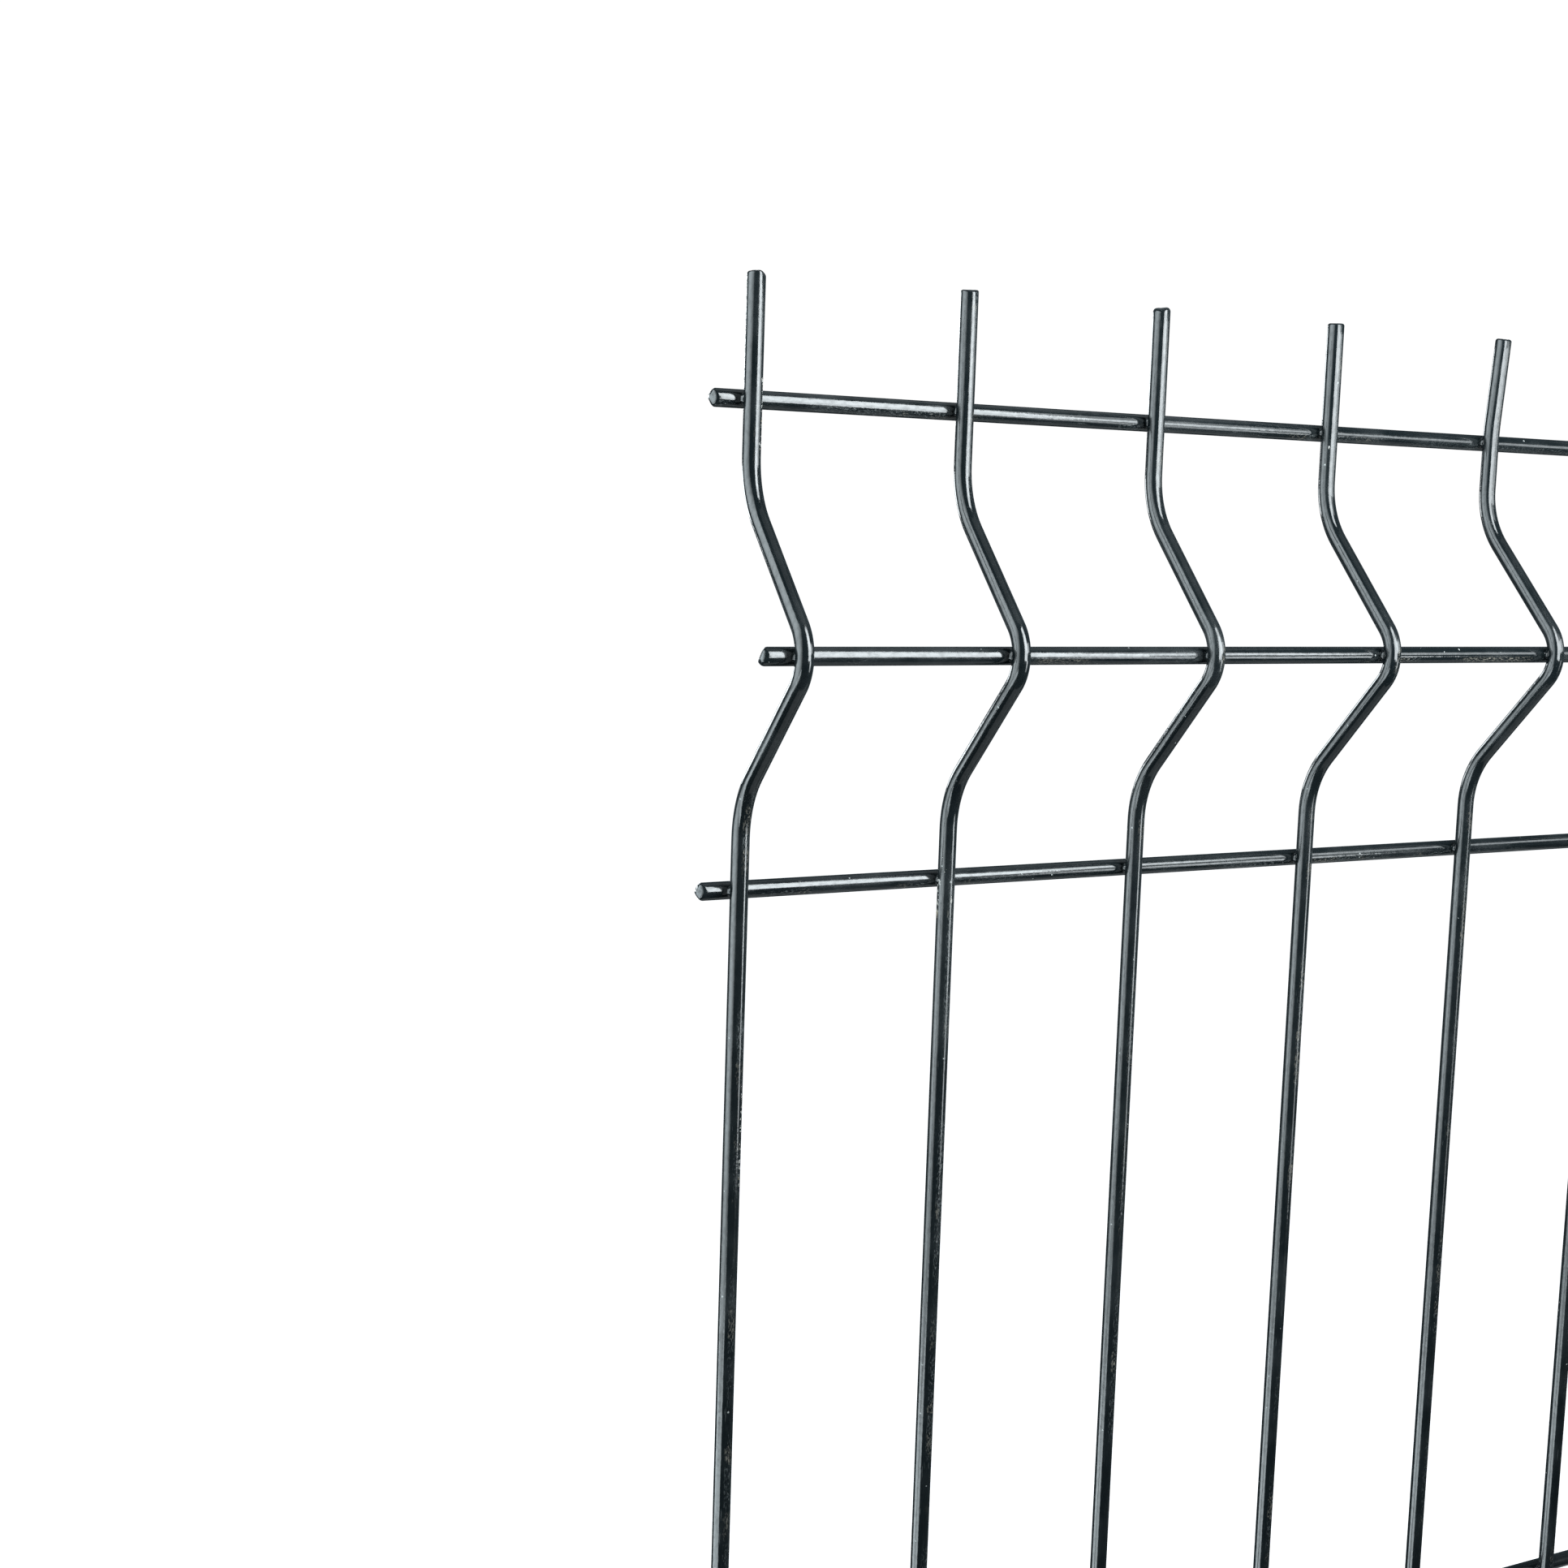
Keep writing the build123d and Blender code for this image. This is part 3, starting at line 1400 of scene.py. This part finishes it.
@dataclass(frozen=True)
class LitWall:
    """A lit wall to the left of the panel, that darkens downwards as far as its lit base.

    Its centre is from the lit corner, which it faces, and heights are from that corner's.
    """

    name: str = "lit_wall"
    centre: Place = (-1.955, 0.17, 0.25)
    width: float = 3.6
    height: float = 4.3
    radiance: float = 4.1
    tint: Colour = (0.845, 0.955, 1.0)
    # Where its upper part would be dark and is bright, and where its base starts and is bright.
    dark_below: float = -1.90
    bright_above: float = -0.50
    base_from: float = -1.02
    base_full: float = -1.20
    # How far behind the corner it is brightest, and how far to each side of that it fades out.
    glow_at: float = 0.4
    glow_reach: float = 2.6

    def finish(self, corner: Vector) -> bpy.types.Material:
        """Its glowing material.

        Args:
            corner: the lit corner.

        Returns:
            The material.
        """
        material, nodes = blank_material(self.name)
        axes = nodes.axes(nodes.place)
        upper = nodes.ramp(axes["Z"], corner.z + self.dark_below, corner.z + self.bright_above)
        aside = nodes.math("ABSOLUTE", nodes.math("SUBTRACT", axes["Y"], corner.y + self.glow_at))
        upper = nodes.math("MULTIPLY", upper, nodes.ramp(aside, self.glow_reach, 0.0))
        base = nodes.ramp(axes["Z"], corner.z + self.base_from, corner.z + self.base_full)
        share = nodes.math("MAXIMUM", upper, base)
        glow = nodes.add("ShaderNodeEmission", Color=(*self.tint, 1.0))
        nodes.link(nodes.math("MULTIPLY", share, self.radiance), glow.inputs["Strength"])
        nodes.show(glow.outputs[0])
        return material

    def place(self, corner: Vector) -> bpy.types.Object:
        """Puts the wall in the scene.

        Args:
            corner: the lit corner of the panel.

        Returns:
            The wall.
        """
        centre = Vector(self.centre)
        turn = centre.to_track_quat("Z", "Y")
        sides = [(x * self.width / 2, y * self.height / 2) for x, y in ((-1, -1), (1, -1), (1, 1), (-1, 1))]
        bm = bmesh.new()
        bm.faces.new([bm.verts.new(corner + centre + turn @ Vector((x, y, 0))) for x, y in sides])
        wall = new_object(self.name, bm, self.finish(corner))
        wall.visible_camera = False
        wall.visible_shadow = False
        return wall


@dataclass
class Studio:
    """The plain white studio: floor, surroundings, lights and camera."""

    # The corner of the panel that the camera looks at, and the camera from there.
    corner: Vector
    camera_offset: Vector = field(default_factory=lambda: Vector((-196.7, -388.1, -24.1)) * MM)
    # Which way the camera looks, in degrees: from +Y towards +X, then down, then turned about its
    # own line of sight, and its focal length in pixels of the photograph.
    heading: float = 28.00
    dip: float = 6.96
    roll: float = -1.76
    focal_pixels: float = 2651.0
    # How close to the camera something may be and still be seen.
    nearest: float = 0.02
    floor_side: float = 60.0
    floor_cells: int = 8
    # How far under the panel's feet the floor lies.
    floor_drop: float = 0.2 * MM
    floor_tint: Colour = (0.8, 0.8, 0.8)
    floor_roughness: float = 0.9
    # How bright the white behind the panel is.
    backdrop: float = 1.05
    # What the coat mirrors above the horizon, a little under it and further down, and where one
    # turns into the next, from level at 0 to straight up at 1.
    high_tone: Colour = (0.050, 0.068, 0.078)
    low_tone: Colour = (0.090, 0.112, 0.122)
    deep_tone: Colour = (0.034, 0.044, 0.050)
    low_levels: Range = (0.05, -0.12)
    deep_levels: Range = (-0.14, -0.36)
    boxes: tuple[SoftBox, ...] = (
        SoftBox("near_card", (0.159, -0.249, 0.125), (0.079, -0.066, 0.125), 0.165, 0.43, 8.6),
        SoftBox("near_strip", (0.265, -0.203, 0.010), (0.185, -0.020, 0.010), 0.070, 0.094, 6.2),
        SoftBox("far_strip", (0.374, -0.155, 0.014), (0.294, 0.028, 0.014), 0.165, 0.086, 2.8),
        SoftBox("right_card", (0.446, -0.401, -0.190), (-0.03, 0, -0.10), 0.16, 0.112, 9.5, 46.0),
        SoftBox("right_card_foot", (0.446, -0.401, -0.290), (-0.03, 0, -0.14), 0.16, 0.088, 5.0, 46.0),
        SoftBox("back_card_low", (-0.15, 1.50, -0.065), (0.05, 0, -0.07), 0.60, 0.15, 4.5),
        SoftBox("back_card_high", (0.22, 1.50, 0.160), (0.15, 0, -0.07), 0.55, 0.17, 4.5),
        SoftBox("far_softbox", (1.54, -2.36, 1.03), (0, 0, 0), 1.5, 1.8, 2.0),
        SoftBox("top_softbox", (0.90, 0.30, 2.20), (0.90, 0.29, 0), 2.4, 2.4, 0.22),
        SoftBox("floor_card", (0.55, 0.10, -1.00), (0.55, 0.09, 0), 1.6, 0.9, 0.26),
    )
    wall: LitWall = LitWall()

    def surroundings(self) -> None:
        """Makes what lies around: white behind the panel, dark where the coat mirrors it."""
        world = bpy.data.worlds.new("studio")
        bpy.context.scene.world = world
        world.use_nodes = True
        nodes = Nodes(world.node_tree)
        white = nodes.add("ShaderNodeBackground", Color=(1, 1, 1, 1), Strength=self.backdrop)
        dark = nodes.add("ShaderNodeBackground", Strength=1.0)
        level = nodes.axes(nodes.add("ShaderNodeTexCoord").outputs["Generated"])["Z"]
        tone = nodes.blend(nodes.ramp(level, *self.low_levels), self.high_tone, self.low_tone)
        tone = nodes.blend(nodes.ramp(level, *self.deep_levels), tone, self.deep_tone)
        nodes.link(tone, dark.inputs["Color"])
        seen = nodes.add("ShaderNodeLightPath").outputs["Is Camera Ray"]
        mix = nodes.fed("ShaderNodeMixShader", seen, 0)
        nodes.link(dark.outputs[0], mix.inputs[1])
        nodes.link(white.outputs[0], mix.inputs[2])
        nodes.show(mix.outputs[0], "ShaderNodeOutputWorld")

    def floor(self) -> bpy.types.Object:
        """Lays the pale floor under the panel's feet.

        Returns:
            The floor.
        """
        material, nodes = blank_material("floor_white")
        shader = nodes.add(
            "ShaderNodeBsdfPrincipled",
            Base_Color=(*self.floor_tint, 1.0),
            Roughness=self.floor_roughness,
            Emission_Color=(1.0, 1.0, 1.0, 1.0),
            Emission_Strength=1.0,
        )
        nodes.show(shader.outputs["BSDF"])
        bm = bmesh.new()
        cells = self.floor_cells
        bmesh.ops.create_grid(bm, x_segments=cells, y_segments=cells, size=self.floor_side / 2)
        floor = new_object("studio_floor", bm, material)
        floor.location.z = CAD_BOX[0].z - self.floor_drop
        floor.visible_glossy = False
        floor.visible_diffuse = False
        return floor

    def camera(self) -> bpy.types.Object:
        """Sets up the camera at the photograph's viewing angle.

        Returns:
            The camera.
        """
        heading, dip, roll = (math.radians(angle) for angle in (self.heading, self.dip, self.roll))
        ahead = Vector((math.sin(heading) * math.cos(dip), math.cos(heading) * math.cos(dip), -math.sin(dip)))
        level = Vector((math.cos(heading), -math.sin(heading), 0))
        down = ahead.cross(level)
        right = level * math.cos(roll) + down * math.sin(roll)
        up = level * math.sin(roll) - down * math.cos(roll)
        data = bpy.data.cameras.new("photo_camera")
        data.sensor_width = SENSOR_WIDTH
        data.lens = self.focal_pixels / PHOTO_SIDE * SENSOR_WIDTH
        data.clip_start = self.nearest
        camera = bpy.data.objects.new("photo_camera", data)
        turn = Matrix((right, up, -ahead)).transposed()
        camera.matrix_world = Matrix.Translation(self.corner + self.camera_offset) @ turn.to_4x4()
        bpy.context.scene.collection.objects.link(camera)
        bpy.context.scene.camera = camera
        return camera

    def build(self) -> None:
        """Sets up the whole studio."""
        self.camera()
        self.surroundings()
        self.floor()
        for box in self.boxes:
            box.place(self.corner)
        self.wall.place(self.corner)
        settings = bpy.context.scene.view_settings
        settings.view_transform = "Standard"
        settings.look = "None"


def main() -> None:
    """Builds the panel's looks and the studio, in order."""
    logging.basicConfig(level=logging.INFO, format="%(name)s: %(message)s")
    upright_coat = PowderCoat(
        "anthracite_coat_upright",
        Run.UP,
        rubbed_side=(0.22, -0.97, -0.1),
        rubbing=0.75,
        dust=0.35,
        wave_height=0.05 * MM,
    )
    line_coat = PowderCoat(
        "anthracite_coat_line",
        Run.ALONG,
        rubbed_side=(0.1, -0.75, -0.65),
        rubbing=0.8,
        dust=0.5,
        wave_height=0.07 * MM,
        # painted light: only the front facets of the cropped ends get the pale cut tint, which stands for
        # their lit side
        thin_coat_and_lit_side=(0, -1, 0),
        lump_height=0.09 * MM,
        free_beyond=1001 * MM,
    )
    uprights = Uprights(upright_coat.make())
    lines = LineWires(line_coat.make())
    first = uprights.axis_x(uprights.names[0])
    Studio(Vector((first, 0, uprights.top_line))).build()

    for piece in uprights.build():
        LOG.info("upright %s, %d faces", piece.name, len(piece.data.polygons))
    for piece in lines.build():
        LOG.info("line wire %s, %d faces", piece.name, len(piece.data.polygons))
    for piece in Welds(uprights.coat, uprights, lines).build():
        LOG.info("welds %s, %d faces", piece.name, len(piece.data.polygons))
    chips = Chips(BareMetal("bare_zinc_and_painted_glint").make(), uprights).build()
    LOG.info("chips %s, %d faces", chips.name, len(chips.data.polygons))


if __name__ == "__main__":
    main()
